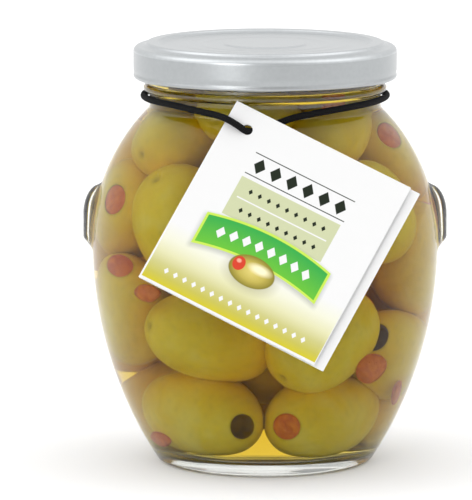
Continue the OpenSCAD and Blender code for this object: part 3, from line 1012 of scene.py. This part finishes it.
def olive_skin(random, length, width):
    """One olive along +Z: a blunt body, a pit hole at the top end and a stem dimple at the other.

    Also says how near each point is to the hole or the dimple, which sets the painted shade in the hole
    and the browner stem, and where the hole is."""
    blunt = 2.25
    half, thick = length / 2, width / 2
    hole_r = random.uniform(4.1, 4.8)
    lip = math.asin((hole_r / thick) ** (blunt / 2))
    turns = np.linspace(0, 2 * math.pi, SKIN_SIDES, endpoint=False)
    body = np.linspace(0.5, math.pi - 0.02, SKIN_RINGS)
    levels = np.concatenate([np.linspace(lip, 0.5, 6), body[1:]])
    lean = random.uniform(-0.006, 0.006, 2)
    waves = random.uniform(0, 2 * math.pi, 6)
    egg = random.uniform(-0.08, 0.05)
    points, near = [], []
    rim_z = half * math.cos(lip) ** (2 / blunt)
    hole_r *= 1 + egg * rim_z / half
    tilt = lean * rim_z ** 2
    wall = [(0.80, 4.2), (0.86, 2.6), (0.92, 1.2), (0.97, 0.35)]
    # The hole's wall takes the full painted shade.
    for share, deep in wall:
        for t in turns:
            x, y = hole_r * share * math.cos(t), hole_r * share * math.sin(t)
            points.append((x + tilt[0], y + tilt[1], rim_z - deep))
            near.append(1.0)
    for level in levels:
        r = thick * math.sin(level) ** (2 / blunt)
        z = half * math.copysign(abs(math.cos(level)) ** (2 / blunt), math.cos(level))
        r *= 1 + egg * z / half
        if z < 0:
            z -= 0.7 * math.exp(-((r / 2.6) ** 2)) - 1.5 * math.exp(-((r / 1.1) ** 2))
        for t in turns:
            wave = 0.010 * math.sin(2 * t + waves[0] + z / 9)
            wave += 0.008 * math.sin(3 * t + waves[1] - z / 5)
            wave += 0.008 * math.sin(waves[2] + z / 4.5 + math.cos(t + waves[3]))
            at = r * (1 + wave)
            x, y = at * math.cos(t), at * math.sin(t)
            points.append((x + lean[0] * z * z, y + lean[1] * z * z, z))
            # Painted shade round the hole's edge, and a browner mark at the stem.
            if z > 0:
                near.append(0.25 * math.exp(-((r - hole_r) / 0.5) ** 2))
            else:
                near.append(0.5 * math.exp(-(r / 1.2) ** 2))
    faces = ring_faces(len(wall) + len(levels), SKIN_SIDES)
    return np.array(points), faces, near, hole_r, rim_z, lean


def paste_plug(random, hole_r, rim_z, lean):
    """The stuffing in a hole, with a rounded face that bulges out of it by up to a millimetre."""
    proud = random.uniform(0.1, 0.9)
    turns = even_turns(PASTE_SIDES)
    points = []
    rings = 7
    for i in range(rings + 1):
        share = i / rings
        r = (hole_r + 0.1) * share
        lump = 0.15 * math.sin(5 * share + random.uniform(0, 1))
        for t in turns:
            z = rim_z + proud - 0.7 * share ** 2 + lump * math.cos(2 * t)
            points.append((max(r, 0.05) * math.cos(t), max(r, 0.05) * math.sin(t), z))
    for t in turns:
        points.append((hole_r * 0.9 * math.cos(t), hole_r * 0.9 * math.sin(t), rim_z - 4))
    points = np.array(points)
    points[:, :2] += lean * rim_z ** 2
    return points, ring_faces(rings + 2, PASTE_SIDES)


def paste_lump(random, size):
    """An uneven lump of paste."""
    levels = np.linspace(0.03, math.pi - 0.03, 14)
    waves = random.uniform(0, 2 * math.pi, 3)
    points = []
    for level in levels:
        for t in even_turns(PASTE_SIDES):
            swell = 1 + 0.14 * math.sin(2 * t + waves[0] + level)
            swell += 0.10 * math.sin(3 * t + waves[1] - 2 * level)
            across = math.sin(level) * swell
            points.append((across * math.cos(t), across * math.sin(t), math.cos(level)))
    return np.array(points) * size, ring_faces(len(levels), PASTE_SIDES)


def turned(points, ahead, centre):
    """Points drawn along +Z, turned to point ahead and moved to their place."""
    turn = Vector((0, 0, 1)).rotation_difference(Vector(ahead)).to_matrix()
    return points @ np.array(turn).T + centre


class Heap:
    """Many closed skins that become one piece."""

    def __init__(self):
        self.points, self.faces, self.count = [], [], 0

    def add(self, points, faces):
        self.points.append(points)
        self.faces += [[self.count + k for k in face] for face in faces]
        self.count += len(points)

    def piece(self, name):
        return mesh_piece(name, np.vstack(self.points), self.faces)


def make_contents():
    """All the olives as one piece, and all the paste as another."""
    random = np.random.default_rng(11)
    skins, pastes, rims = Heap(), Heap(), []
    for centre, ahead, length, width, filled in settle(fill_up(random)):
        skin, faces, near, hole_r, rim_z, lean = olive_skin(random, length, width)
        skins.add(turned(skin, ahead, centre), faces)
        rims += near
        plug, faces = paste_plug(random, hole_r, rim_z, lean)
        if filled:
            pastes.add(turned(plug, ahead, centre), faces)
    for place, size in LOOSE_PASTE:
        lump, faces = paste_lump(random, size)
        turn = math.atan2(place[1], place[0]) + math.pi / 2
        inward = (inner_limit(place[2], size[1]) - LUMP_GAP) / math.hypot(place[0], place[1])
        x = lump[:, 0] * math.cos(turn) - lump[:, 1] * math.sin(turn) + place[0] * inward
        y = lump[:, 0] * math.sin(turn) + lump[:, 1] * math.cos(turn) + place[1] * inward
        pastes.add(np.stack([x, y, lump[:, 2] + place[2]], axis=1), faces)
    olives = skins.piece("olives")
    store = olives.data.attributes.new("rim", "FLOAT", "POINT")
    store.data.foreach_set("value", np.array(rims, np.float32))
    return olives, pastes.piece("pepper_paste")


olives, paste = make_contents()
give(olives, olive_finish())
give(paste, pepper_finish())


# ---------------------------------------------------------------- floor and light

# Brightness all round, the least anywhere, and patches of light and shade: azimuth from the
# front, elevation, sharpness, amount
AROUND = 1.03
DARKEST = 0.05
LIGHT_PATCHES = (
    (0, 75, 5, 0.20),
    (0, -5, 4, -0.35),
    (-31, 6, 45, 4.40),
    (-80, 42, 7, 1.15),
    (80, 42, 7, 1.00),
    (-75, -5, 12, -0.15),
    (60, -5, 8, -0.20),
)

# The floor reaches far past the view, and lies a little under the jar
FLOOR_REACH = 20000
FLOOR_DROP = 0.1


def make_floor():
    """A wide pale floor, with a faint glow that stands for a lit white sweep."""
    edge = [(-FLOOR_REACH, -FLOOR_REACH, 0), (FLOOR_REACH, -FLOOR_REACH, 0),
            (FLOOR_REACH, FLOOR_REACH, 0), (-FLOOR_REACH, FLOOR_REACH, 0)]
    floor = mesh_piece("floor", edge, [(0, 1, 2, 3)])
    look = Finish("pale_floor")
    look.set(Base_Color=(0.82, 0.82, 0.82, 1), Roughness=0.9, Specular_IOR_Level=0.1)
    look.set(Emission_Color=(1, 1, 1, 1), Emission_Strength=0.12)
    floor.data.materials.append(look.material)
    floor.location.z = -FLOOR_DROP * MM


def make_light():
    """White surroundings, with the patches of light and shade added to them."""
    world = bpy.data.worlds.new("studio")
    bpy.context.scene.world = world
    world.use_nodes = True
    sky = Nodes(world.node_tree)
    direction = sky.node("ShaderNodeTexCoord").outputs["Generated"]
    background = sky.tree.nodes["Background"]

    def patch(azimuth, elevation, sharp, amount):
        """A soft patch of light, or of shade if amount is negative, at a direction from the front."""
        aim = sky.node("ShaderNodeVectorMath", operation="DOT_PRODUCT")
        sky.put(aim.inputs[0], direction)
        turn, rise = math.radians(azimuth), math.radians(elevation)
        level = math.cos(rise)
        aim.inputs[1].default_value = (math.sin(turn) * level, -math.cos(turn) * level, math.sin(rise))
        facing = sky.math("MAXIMUM", aim.outputs["Value"], 0.0)
        return sky.math("MULTIPLY", sky.math("POWER", facing, sharp), amount)

    total = AROUND
    for azimuth, elevation, sharp, amount in LIGHT_PATCHES:
        total = sky.math("ADD", patch(azimuth, elevation, sharp, amount), total)
    sky.put(background.inputs["Strength"], sky.math("MAXIMUM", total, DARKEST))
    sky.put(background.inputs["Color"], (1, 1, 1, 1))


make_floor()
make_light()
bpy.context.scene.view_settings.view_transform = "Standard"
